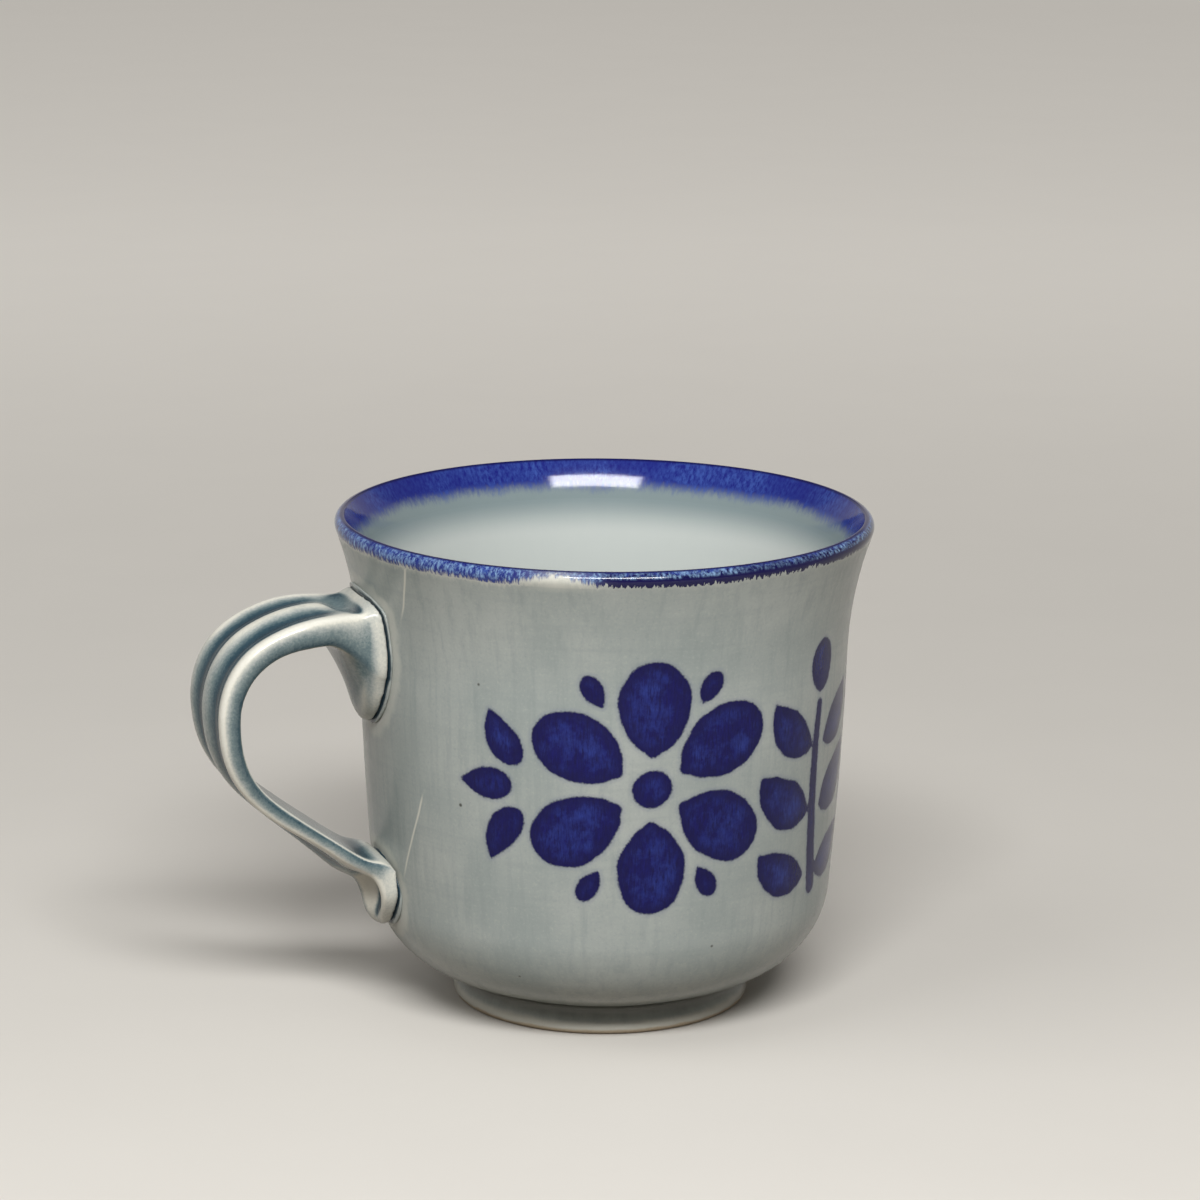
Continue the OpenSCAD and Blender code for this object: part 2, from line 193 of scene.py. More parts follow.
def outside_radius(s, f, z):
    """Radius of the outside of the cup at a height between the foot and the lip's round."""
    if z >= f.waist.y:
        return f.flare_c.x - math.sqrt(f.flare_r ** 2 - (z - f.flare_c.y) ** 2)
    if z >= f.belly_z:
        return f.wall_c.x + math.sqrt(f.wall_r ** 2 - (z - f.wall_c.y) ** 2)
    if z >= f.base_end.y:
        return f.belly_c.x + math.sqrt(s.belly_round ** 2 - (z - f.belly_c.y) ** 2)
    return s.foot_radius + (z - s.foot_height) / math.tan(s.base_slope)


def inside_radius(s, f, z):
    """Radius of the inside of the cup at a height above the belly."""
    thinning = max(z - f.waist.y, 0) / (f.flare_top - f.waist.y)
    thickness = s.wall_thickness + (s.lip_thickness - s.wall_thickness) * thinning
    return outside_radius(s, f, z) - thickness


def between(start, end, step):
    """Evenly spaced values from start to end, about one step apart."""
    count = max(round(abs(end - start) / step), 1)
    return [start + (end - start) * i / count for i in range(count + 1)]


def arc(centre, radius, start, end, step):
    """Points along an arc in the plane of radius and height."""
    return [
        (centre.x + radius * math.cos(a), centre.y + radius * math.sin(a))
        for a in between(start, end, step / radius)]


def lip_face(s, f, inset, step):
    """The lip from the outer to the inner edge of its glaze band, drawn in by an inset. Its inside
    opens towards the crest, as a lip does that was pressed out with a thumb."""
    outer = [(outside_radius(s, f, z) - inset, z) for z in between(f.band_out_z, f.flare_top, step)]
    crest = arc(f.lip_c, f.lip_r - inset, -f.lip_drop, math.pi - f.lip_drop, step)
    inner = [(inside_radius(s, f, z) + inset, z) for z in between(f.flare_top, f.band_in_z, step)]
    line = outer + crest[1:-1] + inner
    top = max(range(len(line)), key=lambda i: line[i][1])
    for i, (radius, z) in enumerate(line):
        if i > top:
            share = (z - f.band_in_z) / s.band_inside
            line[i] = (max(radius, inside_radius(s, f, z) + inset + s.lip_opening * share ** 2), z)
    for _ in range(LIP_PASSES):
        eased = [
            tuple((a + 2 * b + c) / 4 for a, b, c in zip(*three))
            for three in zip(line, line[1:], line[2:])]
        line = line[:1] + eased + line[-1:]
    return line


def cup_outline(s, f):
    """Outline of the cup, from the middle of its underside round the lip to the middle of its
    floor, with its points closest on the painted wall."""
    row = s.row
    floor_turn = math.asin((f.floor_z - f.belly_c.y) / (s.belly_round - s.wall_thickness))
    inner_top = f.belly_z + s.wall_thickness * math.sin(s.belly_lean)
    under = [(s.foot_radius * share, s.foot_height) for share in (0, 0.5, 1)]
    base = [(outside_radius(s, f, z), z) for z in between(s.foot_height, f.base_end.y, row)]
    belly = arc(f.belly_c, s.belly_round, s.base_slope - math.pi / 2, -s.belly_lean, row * 1.3)
    wall = [(outside_radius(s, f, z), z) for z in between(f.belly_z, f.waist.y, row)]
    flare = [(outside_radius(s, f, z), z) for z in between(f.waist.y, f.band_out_z, row * 1.6)]
    seat = lip_face(s, f, s.glaze_thickness, row)
    throat = [(inside_radius(s, f, z), z) for z in between(f.band_in_z, f.waist.y, row * 1.6)]
    inner_wall = [(inside_radius(s, f, z), z) for z in between(f.waist.y, inner_top, row * 5)]
    bowl = arc(f.belly_c, s.belly_round - s.wall_thickness, -s.belly_lean, floor_turn, row * 2)
    centre = [(bowl[-1][0] * share, f.floor_z) for share in (0.75, 0.5, 0.25, 0)]
    runs = (under, base, belly, wall, flare, seat, throat, inner_wall, bowl, centre)
    return no_repeats([point for run in runs for point in run])


# The foot's step and turns, and shares of its height for the cove and the turned line
FOOT_STEP = 0.15 * MM
FOOT_TURNS = 240
COVE_SHARE = 0.7
BEAD_PLACE, BEAD_WIDTH = 0.86, 0.06


def foot_outline(s):
    """Closed outline of the foot ring, with round edges, a cove and a turned line."""
    inner_r = s.foot_radius - s.foot_width
    out_c = Vector((s.foot_radius - s.foot_round, s.foot_round))
    in_c = Vector((inner_r + s.foot_round, s.foot_round))
    edge_in = arc(in_c, s.foot_round, math.pi, 1.5 * math.pi, FOOT_STEP)
    edge_out = arc(out_c, s.foot_round, 1.5 * math.pi, 2 * math.pi, FOOT_STEP)
    cove = []
    for z in between(s.foot_round, s.foot_height, FOOT_STEP):
        q = (z - s.foot_round) / (s.foot_height - s.foot_round)
        depth = s.foot_cove * math.sin(math.pi / 2 * min(q / COVE_SHARE, 1)) ** 2
        bead = s.foot_bead * math.exp(-((q - BEAD_PLACE) / BEAD_WIDTH) ** 2)
        cove.append((s.foot_radius - depth + bead, z))
    top = [(inner_r - s.foot_cove, s.foot_height)]
    return no_repeats(edge_in + edge_out + cove + top + edge_in[:1])


def no_repeats(points):
    """The points without those that repeat the one before."""
    kept = points[:1]
    for point in points[1:]:
        if math.dist(point, kept[-1]) > OUTLINE_WELD:
            kept.append(point)
    return kept


def lathe(name, outline, turns):
    """Draw an outline by extruding one vertex, and spin it round the cup's axis."""
    bpy.ops.object.select_all(action="DESELECT")
    radius, height = outline[0]
    bpy.ops.mesh.primitive_plane_add(size=MM, location=(0, 0, 0))
    piece = bpy.context.object
    piece.name = piece.data.name = name
    bpy.ops.object.mode_set(mode="EDIT")
    bpy.ops.mesh.merge(type="CENTER")
    bpy.ops.transform.translate(value=(radius, 0, height))
    for here, there in zip(outline, outline[1:]):
        step = (there[0] - here[0], 0, there[1] - here[1])
        bpy.ops.mesh.extrude_vertices_move(TRANSFORM_OT_translate={"value": step})
    bpy.ops.mesh.select_all(action="SELECT")
    bpy.ops.mesh.spin(steps=turns, angle=2 * math.pi, center=(0, 0, 0), axis=(0, 0, 1))
    bpy.ops.mesh.select_all(action="SELECT")
    bpy.ops.mesh.remove_doubles(threshold=MESH_WELD)
    bpy.ops.mesh.normals_make_consistent(inside=False)
    bpy.ops.object.mode_set(mode="OBJECT")
    bpy.ops.object.shade_smooth_by_angle(angle=CREASE_ANGLE)
    return piece


def merged_copy(node, name):
    """A copy of a solid's mesh as a new piece, with its loose triangles merged and paired."""
    bpy.ops.object.select_all(action="DESELECT")
    piece = bpy.data.objects.new(name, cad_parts[node].data.copy())
    piece.data.name = name
    piece.data.materials.clear()
    bpy.context.scene.collection.objects.link(piece)
    piece.select_set(True)
    bpy.context.view_layer.objects.active = piece
    bpy.ops.object.mode_set(mode="EDIT")
    bpy.ops.mesh.select_all(action="SELECT")
    bpy.ops.mesh.remove_doubles(threshold=SOLID_WELD)
    bpy.ops.mesh.tris_convert_to_quads()
    bpy.ops.object.mode_set(mode="OBJECT")
    return piece


def finish_with(piece, kind, **settings):
    """Add a modifier to a piece, set it and apply it."""
    bpy.context.view_layer.objects.active = piece
    bpy.ops.object.modifier_add(type=kind)
    modifier = piece.modifiers[-1]
    for name, value in settings.items():
        setattr(modifier, name, value)
    bpy.ops.object.modifier_apply(modifier=modifier.name)


def soft_skin(piece, voxel, passes):
    """Close a piece into one even skin, and soften it as glaze softens clay."""
    finish_with(piece, "REMESH", mode="VOXEL", voxel_size=voxel, use_smooth_shade=True)
    finish_with(piece, "SMOOTH", factor=0.5, iterations=passes)


def points_of(mesh, kind="co"):
    """Places or normals of a mesh's vertices, as an array."""
    values = np.empty(len(mesh.vertices) * 3, np.float32)
    mesh.vertices.foreach_get(kind, values)
    return values.reshape(-1, 3).astype(float)


def store(mesh, name, values):
    """Keep a number for each vertex as an attribute that materials read."""
    attribute = mesh.attributes.new(name, "FLOAT", "POINT")
    attribute.data.foreach_set("value", np.ascontiguousarray(values, np.float32))


def ease(values):
    """Soft step from 0 to 1."""
    share = np.clip(values, 0, 1)
    return share * share * (3 - 2 * share)


def relief(piece, passes):
    """How far each vertex stands out of the skin smoothed over a wider patch, in millimetres."""
    wide = piece.copy()
    wide.data = piece.data.copy()
    bpy.context.scene.collection.objects.link(wide)
    finish_with(wide, "SMOOTH", factor=0.5, iterations=passes)
    gap = points_of(piece.data) - points_of(wide.data)
    height = np.einsum("ij,ij->i", gap, points_of(piece.data, "normal")) / MM
    bpy.data.objects.remove(wide)
    return height


# Where the brush left least on the rim, and most: degrees round the cup, and half width
THIN_PLACES = ((-119, 6), (24, 6), (131, 5))
LOADED_PLACES = ((-68, 43), (78, 44))
LOAD_FADE = 6


def store_run(piece, s, f):
    """Keep each vertex's run over the lip in millimetres, over 0 outside and under 0 inside, how
    thin the rim glaze is there, and how much the brush left."""
    cup = cup_outline(s, f)
    crest = max(range(len(cup)), key=lambda i: cup[i][1])
    outside = [point for point in cup[:crest] if point[1] <= f.band_out_z]
    inside = [point for point in cup[crest:] if point[1] <= f.band_in_z]
    line = no_repeats(outside + lip_face(s, f, 0, s.row * 0.5) + inside)
    steps = [math.dist(a, b) / MM for a, b in zip(line, line[1:])]
    crest = max(range(len(line)), key=lambda i: line[i][1])
    runs = sum(steps[:crest]) - np.concatenate(([0], np.cumsum(steps)))
    tree = KDTree(len(line))
    for i, (radius, z) in enumerate(line):
        tree.insert((radius, 0, z), i)
    tree.balance()
    places = points_of(piece.data)
    radii = np.hypot(places[:, 0], places[:, 1])
    nearest = [tree.find((r, 0, z))[1] for r, z in zip(radii, places[:, 2])]
    turn = np.degrees(np.arctan2(places[:, 1], places[:, 0]))
    thin, load = np.zeros(len(turn)), np.zeros(len(turn))
    for middle, width in THIN_PLACES:
        away = (turn - middle + 180) % 360 - 180
        thin = np.maximum(thin, np.exp(-(away / width) ** 2))
    for middle, width in LOADED_PLACES:
        away = np.abs((turn - middle + 180) % 360 - 180)
        load = np.maximum(load, ease((width - away) / LOAD_FADE + 0.5))
    for name, field in (("run", runs[nearest]), ("thin", thin), ("load", load)):
        store(piece.data, name, field)


# Painted border: rosettes and leaf sprays by turns, in millimetres along and up the wall. A place
# further from it than FAR counts as bare, and so does one nearer the axis than BORDER_INNER.
BORDER_RADIUS = 39
BORDER_INNER = 30
BORDER_MIDDLE = 46
FAR = 4.0
ROSETTES = (-67, 0, 67)
SPRAYS = (-33.5, 33.5)
PALMETTES = ((-85, -1), (85, 1))
# A rosette's petals and the drops in its gaps: root, bend and tip from its middle, and half width
PETALS = 6
PETAL_ROOT, PETAL_BEND, PETAL_TIP, PETAL_WIDTH = 6.4, 12.4, 17.9, 5.7
DROP_ROOT, DROP_BEND, DROP_TIP, DROP_WIDTH = 16, 18.4, 20.6, 1.8
# Leaves of a spray by height, and of a palmette by lean in degrees, with length and half width
SPRAY_LEAVES = ((-20, 13.4, 3.7), (-8.8, 14.6, 4.1), (2.2, 13.4, 3.6))
PALMETTE_LEAVES = ((-58, 15, 2.8), (0, 13, 2.8), (58, 15, 2.8))
BUD_WIDTH = 3.3
# How wide a stroke is along its length, as shares of its full width
PETAL_SHARES = (0.2, 0.42, 0.66, 0.86, 0.98, 1, 0.9, 0.62)
LEAF_SHARES = (0.16, 0.56, 0.86, 1, 0.95, 0.77, 0.46, 0.1)


def drop(points, start, end, start_r, end_r):
    """Signed distance to a drop: a circle that swells or thins from start to end."""
    axis = end - start
    reach = np.hypot(*axis)
    axis = axis / reach
    rel = points - start
    along = rel @ axis
    across = np.abs(rel @ np.array((-axis[1], axis[0])))
    lean = np.clip((start_r - end_r) / reach, -0.99, 0.99)
    slant = math.sqrt(1 - lean ** 2)
    turn = slant * along - lean * across
    side = slant * across + lean * along - start_r
    far = np.hypot(across, along - reach) - end_r
    near = np.hypot(across, along) - start_r
    return np.where(turn < 0, near, np.where(turn > slant * reach, far, side))


def stroke(field, points, line, widths):
    """Lay one brush stroke: drops along a line, each as wide as the brush was pressed."""
    line = np.array(line, float)
    margin = max(widths) + 3
    near = np.all((points > line.min(0) - margin) & (points < line.max(0) + margin), axis=1)
    here = points[near]
    laid = field[near]
    for i in range(len(line) - 1):
        laid = np.minimum(laid, drop(here, line[i], line[i + 1], widths[i], widths[i + 1]))
    field[near] = laid


def curve(start, bend, end, count=8):
    """Points along a bent line from start to end."""
    start, bend, end = (np.array(p, float) for p in (start, bend, end))
    return [
        start * (1 - t) ** 2 + 2 * bend * t * (1 - t) + end * t * t
        for t in np.linspace(0, 1, count)]


def rosette(field, points, centre, draw):
    """A round flower: broad petals about a dot, with drops in the gaps over and under it."""
    for k in range(PETALS):
        turn = 2 * math.pi * (k + 0.5) / PETALS + draw.uniform(-0.03, 0.03)
        out = np.array((math.cos(turn), math.sin(turn)))
        side = np.array((-out[1], out[0])) * draw.uniform(-0.9, 0.9)
        tip = PETAL_TIP * draw.uniform(0.97, 1.03)
        root, bend = centre + out * PETAL_ROOT, centre + out * PETAL_BEND + side
        line = curve(root, bend, centre + out * tip)
        widths = [PETAL_WIDTH * draw.uniform(0.96, 1.03) * w for w in PETAL_SHARES]
        stroke(field, points, line, widths)
        gap = turn + math.pi / PETALS
        out = np.array((math.cos(gap), math.sin(gap)))
        if abs(out[1]) > 0.5:
            line = curve(*(centre + out * reach for reach in (DROP_ROOT, DROP_BEND, DROP_TIP)))
            stroke(field, points, line, [DROP_WIDTH * w for w in PETAL_SHARES])
    stroke(field, points, [centre, centre + (0.4, 0.3)], [3.1, 3])


def spray(field, points, centre, draw):
    """A leaf spray: an upright stem with leaves in pairs and a bud on top."""
    foot, top = centre + (1.4, -22), centre + (0, 9.5)
    stroke(field, points, curve(foot, centre + (-2, -5), top, 10), np.linspace(1.5, 0.9, 10))
    for height, reach, width in SPRAY_LEAVES:
        for side in (-1, 1):
            root = centre + (side * 1.7, height)
            lean = math.radians(50 - height * 0.5) * draw.uniform(0.95, 1.05)
            tip = root + reach * np.array((side * math.sin(lean), math.cos(lean)))
            bend = (root + tip) / 2 + np.array((side * 1.9, -2))
            widths = [width * draw.uniform(0.96, 1.04) * w for w in LEAF_SHARES]
            stroke(field, points, curve(root + (side * 0.7, 0.7), bend, tip), widths)
    bud = curve(top + (0, 2.4), top + (0.5, 5), top + (0, 9))
    stroke(field, points, bud, [BUD_WIDTH * w for w in PETAL_SHARES])


def palmette(field, points, root, side, draw):
    """Three leaves that fan out past the last rosette."""
    for lean, reach, width in PALMETTE_LEAVES:
        out = np.array((side * math.cos(math.radians(lean)), math.sin(math.radians(lean))))
        tip = root + out * reach * draw.uniform(0.96, 1.04)
        bend = (root + tip) / 2 + np.array((side * 1.8, 0)) * (lean != 0)
        stroke(field, points, curve(root + out * 5.2, bend, tip), [width * w for w in LEAF_SHARES])


# Thin pale lines where two layers of glaze met beside the handle, along and up the wall
GLAZE_TRAILS = (
    ((-105.2, 81), (-106.5, 77.3), (-107.4, 75), (-108.2, 72.6), (-110, 69)),
    ((-106.2, 42), (-107.6, 38), (-109.8, 33), (-111.6, 29), (-113.2, 25)),
    ((107, 80), (109.5, 74), (109, 68)))


def store_border(piece):
    """Keep each vertex's distance from the painted border in millimetres, under 0 in the paint, its
    offset from the pale glaze lines beside the handle, and how far those show."""
    places = points_of(piece.data) / MM
    up = places[:, 2]
    along = np.arctan2(places[:, 1], places[:, 0]) * BORDER_RADIUS
    points = np.stack((along, up), axis=1)
    border = np.full(len(points), FAR)
    draw = np.random.default_rng(7)
    for x in ROSETTES:
        rosette(border, points, np.array((x, BORDER_MIDDLE)), draw)
    for x in SPRAYS:
        spray(border, points, np.array((x, BORDER_MIDDLE)), draw)
    for x, side in PALMETTES:
        palmette(border, points, np.array((x, BORDER_MIDDLE)), side, draw)
    trail, shown = np.full(len(points), FAR), np.zeros(len(points))
    for line in GLAZE_TRAILS:
        xs, heights = np.array(line[::-1]).T
        offset = along - np.interp(up, heights, xs)
        here = (np.abs(offset) < FAR) & (np.abs(up - heights.mean()) < np.ptp(heights))
        trail[here] = offset[here]
        # The ends fade over 4 mm below and 2 mm above, and nothing shows far from the line
        reach = ease((up - heights[0]) / 4) * ease((heights[-1] - up) / 2)
        shown = np.maximum(shown, reach * (np.abs(offset) < FAR / 2))
    inside = np.array([a.value for a in piece.data.attributes["run"].data]) < 0
    hidden = inside | (np.hypot(places[:, 0], places[:, 1]) < BORDER_INNER)
    border[hidden] = FAR
    shown[hidden] = 0
    for name, field in (("border", border), ("trail", trail), ("trail_shown", shown)):
        store(piece.data, name, field)


SLIP_NODES = ("upper_joint_slip", "lower_joint_slip")
# How far the joints and the crease reach, in millimetres, and where the handle's side starts
JOINT_REACH, CREASE_REACH = 12.0, 3.0
HANDLE_SIDE = -25 * MM
# Voxel size and softening passes of the slip and the strap, and passes that smooth the ribs away
SLIP_SKIN = (0.14 * MM, 9)
STRAP_SKIN = (0.3 * MM, 6)
RIB_PASSES = 90


def store_distance(piece, name, nodes, limit):
    """Keep each vertex's distance from the nearest of some solids, in millimetres to a limit."""
    places = points_of(piece.data)
    distance = np.full(len(places), limit)
    for node in nodes:
        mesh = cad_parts[node].data
        tree = BVHTree.FromPolygons(
            [v.co for v in mesh.vertices], [p.vertices for p in mesh.polygons])
        for i in np.nonzero(places[:, 0] < HANDLE_SIDE)[0]:
            found = tree.find_nearest(places[i], limit * MM)
            if found[0] is not None:
                distance[i] = min(distance[i], found[3] / MM)
    store(piece.data, name, distance)


# Middle of the finger gap in the handle's plane, and middle and reach of the thumb print, where
# less glaze pools, in millimetres
FINGER_GAP = (-52, 47)
THUMB_PRINT, THUMB_REACH = (-46.5, 1, 70), 6


def store_thinness_and_shade(piece):
    """Keep how thin the glaze lies on the strap, from 0 in a pool to 1 over an edge, with painted
    shade added: it runs off the ribs into the grooves and draws back from the wall, and each side
    is painted darker where it turns in to the finger gap, with a pale line at the inner edge."""
    places = points_of(piece.data) / MM
    normals = points_of(piece.data, "normal")
    height = relief(piece, RIB_PASSES)
    store_distance(piece, "joint", SLIP_NODES, JOINT_REACH)
    joint = np.array([a.value for a in piece.data.attributes["joint"].data])
    out = places[:, [0, 2]] - np.array(FINGER_GAP)
    out /= np.linalg.norm(out, axis=1, keepdims=True)
    # Out of the finger gap, and straight out from the wall at the tail
    tail = ease((31 - places[:, 2]) / 6)[:, None]
    out = out * (1 - tail) + np.array((-1, 0)) * tail
    outward = np.einsum("ij,ij->i", normals[:, [0, 2]], out)
    # Below the bend the middle and far ribs are drawn darker than the near one
    far_ribs_darker = np.interp(places[:, 1], (-5, -1), (0, 0.3)) * ease((67 - places[:, 2]) / 7)
    ribs = ease((height + 0.1) / 0.25) * (0.9 - far_ribs_darker)
    # Painted shade: each side of the strap darkens as it turns in to the finger gap, with a pale
    # line left at the inner edge
    edge = np.interp(outward, (-0.85, -0.62, -0.4, 0.1, 0.5), (0.5, 0.27, 0.2, 0.45, 0.9))
    side = ease((np.abs(normals[:, 1]) - 0.35) / 0.4)
    from_print = np.linalg.norm(places - np.array(THUMB_PRINT), axis=1)
    ribs = np.maximum(ribs, 0.36 * np.exp(-(from_print / THUMB_REACH) ** 4))
    level = ribs * (1 - side) + edge * side
    flange = ease((3.4 - joint) / 2.2) * ease((height + 0.06) / 0.08)
    store(piece.data, "thinness_and_shade", level + (0.7 - level) * flange)


def feed(tree, node, inputs):
    """Fill a node's inputs with values, or link them to the sockets given."""
    for key, value in dict(inputs).items():
        if isinstance(value, bpy.types.NodeSocket):
            tree.links.new(value, node.inputs[key])
        else:
            node.inputs[key].default_value = value


def put(tree, kind, inputs=(), out=0, ramp=(), **settings):
    """Add a node with its settings, feed its inputs, and give back one of its outputs."""
    node = tree.nodes.new("ShaderNode" + kind)
    for name, value in settings.items():
        setattr(node, name, value)
    feed(tree, node, inputs)
    for i, (position, shade) in enumerate(ramp):
        stops = node.color_ramp.elements
        while i == 0 and len(stops) > 1:
            stops.remove(stops[-1])
        stop = stops[0] if i == 0 else stops.new(position)
        stop.position = position
        stop.color = shade
    return node.outputs[out]


# Sockets of a colour Mix node and of a Map Range node, and settings that many nodes share. A share
# has a value, where it starts, where it is full, and how far it covers then.
FAC, A, B = 0, 6, 7
SHARE = ("Value", "From Min", "From Max", "To Max")
COLOUR_MIX = {"out": 2, "data_type": "RGBA"}
SMOOTH = {"interpolation_type": "SMOOTHSTEP"}
TIMES = {"operation": "MULTIPLY"}
TIMES_PLUS = {"operation": "MULTIPLY_ADD"}
GLAZE_IOR = 1.5


def per_mm(size):
    """Scale of a pattern whose marks are this many millimetres apart."""
    return 1 / (size * MM)


def new_material(name):
    """An empty node material with its shader, and the function that adds nodes to it."""
    material = bpy.data.materials.new(name)
    material.use_nodes = True
    tree = material.node_tree
    shader = next(n for n in tree.nodes if n.type == "BSDF_PRINCIPLED")
    shader.inputs["IOR"].default_value = GLAZE_IOR
    return material, tree, shader, partial(put, tree)


def grey_green_glaze(add, colours):
    """Stoneware glaze: cloudy, faintly streaked from running, wiped in lines round the wheel, with
    fine specks. Gives its colour and its normal."""
    at = add("TexCoord", out="Object")
    running = add("VectorMath", {0: at, 1: (1, 1, 0.08)}, **TIMES)
    turning = add("VectorMath", {0: at, 1: (0.05, 0.05, 1)}, **TIMES)
    cloud, streak, grain, wiped = (
        add("TexNoise", {"Vector": way, "Scale": per_mm(size), "Detail": 3, "Roughness": rough})
        for way, size, rough in (
            (at, 16, 0.55), (running, 1.6, 0.6), (at, 0.5, 0.7), (turning, 1.7, 0.6)))
    peel = add("TexNoise", {"Vector": at, "Scale": per_mm(3.5), "Detail": 2})
    spots = add("TexVoronoi", {"Vector": at, "Scale": per_mm(11)})
    # Each mark's share and its colour
    marks = (
        (cloud, 0.38, 0.68, 0.55, colours.glaze_deep),
        (streak, 0.48, 0.76, 0.5, colours.glaze_deep),
        (grain, 0.55, 0.75, 0.42, colours.glaze_deep),
        (grain, 0.45, 0.28, 0.12, colours.glaze_thin_and_lit),
        (spots, 0.034, 0.018, 0.9, colours.iron),
        (wiped, 0.5, 0.75, 0.25, colours.glaze_deep))
    shade = colours.glaze
    for *mark, tint in marks:
        share = add("MapRange", zip(SHARE, mark))
        shade = add("Mix", {FAC: share, A: shade, B: tint}, **COLOUR_MIX)
    height = add("Math", {0: peel, 1: 0.012}, **TIMES)
    for pattern, depth in ((wiped, 0.01), (grain, 0.003)):
        height = add("Math", {0: pattern, 1: depth, 2: height}, **TIMES_PLUS)
    return shade, add("Bump", {"Height": height, "Distance": MM})


def cobalt_lip(add, colours, under):
    """Cobalt brushed over the lip: pale crystals over the round of the outside, dark bristle marks
    below them, bright blue inside with a feathered edge, and teal glaze gathered under that."""
    at = add("TexCoord", out="Object")
    run, thin, load = (
        add("Attribute", out="Fac", attribute_name=name) for name in ("run", "thin", "load"))
    upright = add("VectorMath", {0: at, 1: (1, 1, 0.12)}, **TIMES)
    flowing = add("VectorMath", {0: at, 1: (1, 1, 0.35)}, **TIMES)
    bristle, sweep, crystal = (
        add("TexNoise", {
            "Vector": way, "Scale": per_mm(size), "Detail": detail, "Roughness": rough})
        for way, size, detail, rough in (
            (upright, 0.6, 3, 0.65), (upright, 9, 2, 0.5), (flowing, 0.55, 4, 0.75)))
    # Both edges of the band waver with the brush, and thin places draw the outer one up
    low, deep = 0.65, 2.3
    for pattern, reach in ((bristle, 3.2), (sweep, 1.8), (thin, -1.7)):
        low = add("Math", {0: pattern, 1: reach, 2: low}, **TIMES_PLUS)
    for pattern, reach in ((bristle, 2.2), (sweep, 2.4)):
        deep = add("Math", {0: pattern, 1: reach, 2: deep}, **TIMES_PLUS)
    below = add("Math", {0: low, 1: run}, operation="SUBTRACT")
    above = add("Math", {0: deep, 1: run}, operation="ADD")
    loaded = add("Math", {0: load, 1: 0.9, 2: run}, **TIMES_PLUS)
    inner, cream, rich, patches, crystal, crest_end = (
        add("MapRange", zip(SHARE, row)) for row in (
            (run, 0.6, -0.6, 1), (run, 5, 3, 0.6), (bristle, 0.35, 0.65, 1),
            (sweep, 0.62, 0.38, 0.75), (crystal, 0.44, 0.64, 0.75), (run, 0.8, 0.4, 0.85)))
    inside, front, gathered, fringe, dark, upper, crest = (
        add("MapRange", zip(SHARE, row), **SMOOTH) for row in (
            (above, -1.7, 1, 1), (run, 0.2, 0.8, 1), (run, -14, -7.5, 0.95), (below, -1.5, 0, 0.5),
            (below, 3, 1.7, 1), (loaded, 2.9, 2.4, 1), (run, -0.6, -0.2, 1)))
    worn = add("Math", {0: thin, 1: front}, **TIMES)
    # What the brush's load leaves of feather, fringe and bristle ends, and a worn place of the band
    feather, pale, ends, left = (
        add("MapRange", {"Value": value, "To Min": least, "To Max": most})
        for value, least, most in (
            (load, 0.7, 0.14), (load, 1, 0.3), (load, 0.3, 1), (worn, 1, 0.75)))
    strewn = add("MapRange", {"Value": sweep, "From Min": 0.38, "From Max": 0.5, "To Min": 0.4})
    outside = add("Math", {0: below, 1: feather}, operation="DIVIDE")
    outside = add("MapRange", {"Value": outside, "From Min": -0.45}, **SMOOTH)
    covered, gathered, cream, fringe, dark, crystal, crest = (
        reduce(lambda a, b: add("Math", {0: a, 1: b}, **TIMES), shares) for shares in (
            (outside, inside, left), (gathered, inner), (cream, worn), (fringe, pale, front),
            (dark, front, ends), (crystal, upper, strewn, front), (crest, crest_end)))
    for share, tint in (
            (gathered, colours.glaze_gathered), (cream, colours.glaze_thin_and_lit),
            (fringe, colours.glaze_thin_and_lit)):
        under = add("Mix", {FAC: share, A: under, B: tint}, **COLOUR_MIX)
    blue = colours.cobalt
    for share, tint in (
            (rich, colours.cobalt_pale), (patches, colours.cobalt), (dark, colours.cobalt_deep),
            (crystal, colours.cobalt_crystal), (crest, colours.cobalt_deep)):
        blue = add("Mix", {FAC: share, A: blue, B: tint}, **COLOUR_MIX)
    return add("Mix", {FAC: covered, A: under, B: blue}, **COLOUR_MIX)


